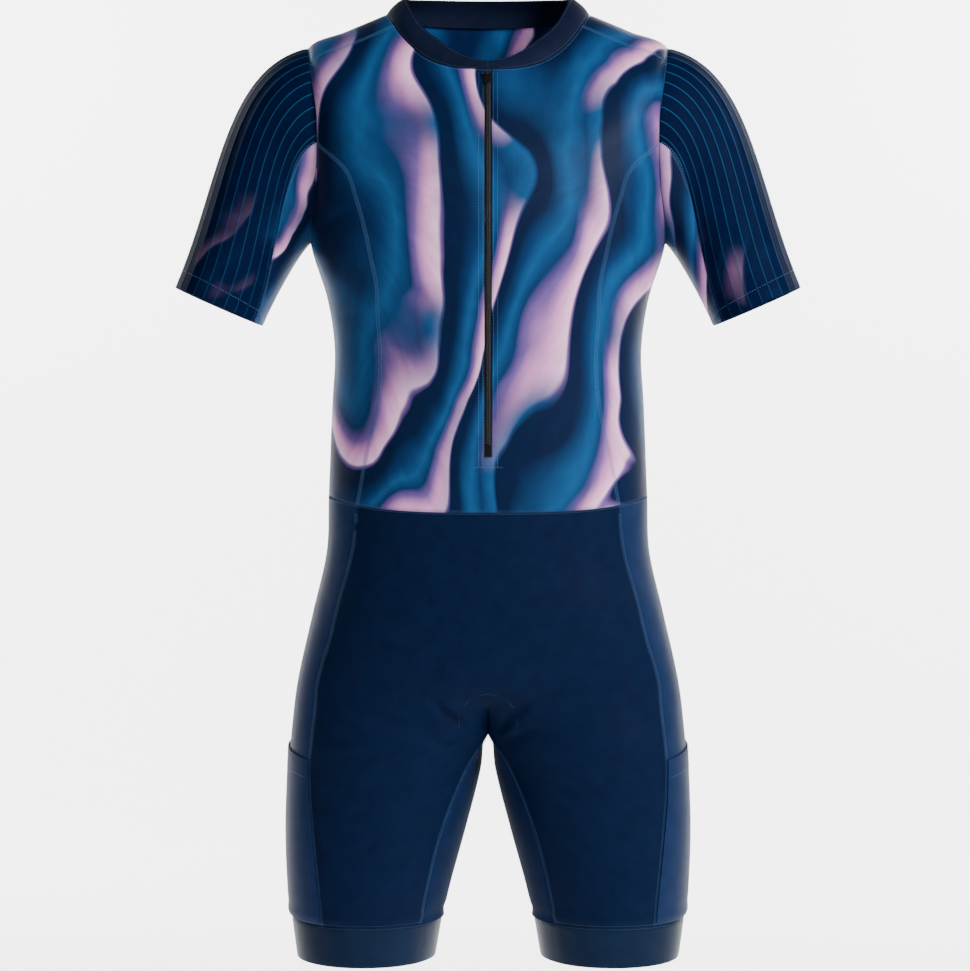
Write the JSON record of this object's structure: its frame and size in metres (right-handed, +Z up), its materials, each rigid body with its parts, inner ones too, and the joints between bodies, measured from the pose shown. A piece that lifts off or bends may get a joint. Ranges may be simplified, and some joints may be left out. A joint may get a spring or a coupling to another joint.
{
  "type": "short-sleeve triathlon suit",
  "caption": "One-piece short-sleeve triathlon suit with a front zip, stand collar and leg grippers, filled out as when worn.",
  "frame": {"origin": "between the wearer's shoulders, at the height of the tops of the armholes", "axes": "+Z up, -Y out of the suit's front, +X towards the wearer's left arm"},
  "size_m": [0.6224, 0.2587, 0.963],
  "materials": {
    "printed_cloth": "smooth stretch knit with a soft marbled print in blue, navy and pink",
    "ribbed_cloth": "navy stretch knit with fine raised ribs along the arm",
    "collar_cloth": "matte navy stretch knit",
    "shorts_cloth": "matte navy stretch knit",
    "panel_cloth": "navy stretch knit with a slight sheen",
    "gripper_band": "smooth bonded navy band",
    "zip_tape": "black woven tape",
    "zip_coil": "black nylon coil",
    "zip_metal": "black lacquer"
  },
  "bodies": {
    "suit": {"front_body": "printed_cloth", "back_body": "printed_cloth", "side_panel_left": "printed_cloth", "side_panel_right": "printed_cloth", "sleeve_upper_left": "ribbed_cloth", "sleeve_upper_right": "ribbed_cloth", "sleeve_under_left": "printed_cloth", "sleeve_under_right": "printed_cloth", "collar": "collar_cloth", "shorts_front": "shorts_cloth", "shorts_back": "shorts_cloth", "shorts_inner": "panel_cloth", "shorts_side_left": "panel_cloth", "shorts_side_right": "panel_cloth", "leg_pocket_left": "panel_cloth", "leg_pocket_right": "panel_cloth", "leg_band_left": "gripper_band", "leg_band_right": "gripper_band", "zip_tape_left": "zip_tape", "zip_tape_right": "zip_tape", "zip_coil": "zip_coil", "zip_slider": "zip_metal"},
    "pull": {"zip_pull": "zip_metal"}
  },
  "joints": [
    {"name": "pull_hinge", "type": "hinge", "parent": "suit", "child": "pull", "pos_m": [0, -0.08484, -0.04253], "axis": [-1, 0, 0], "range_deg": [0, 150]}
  ]
}
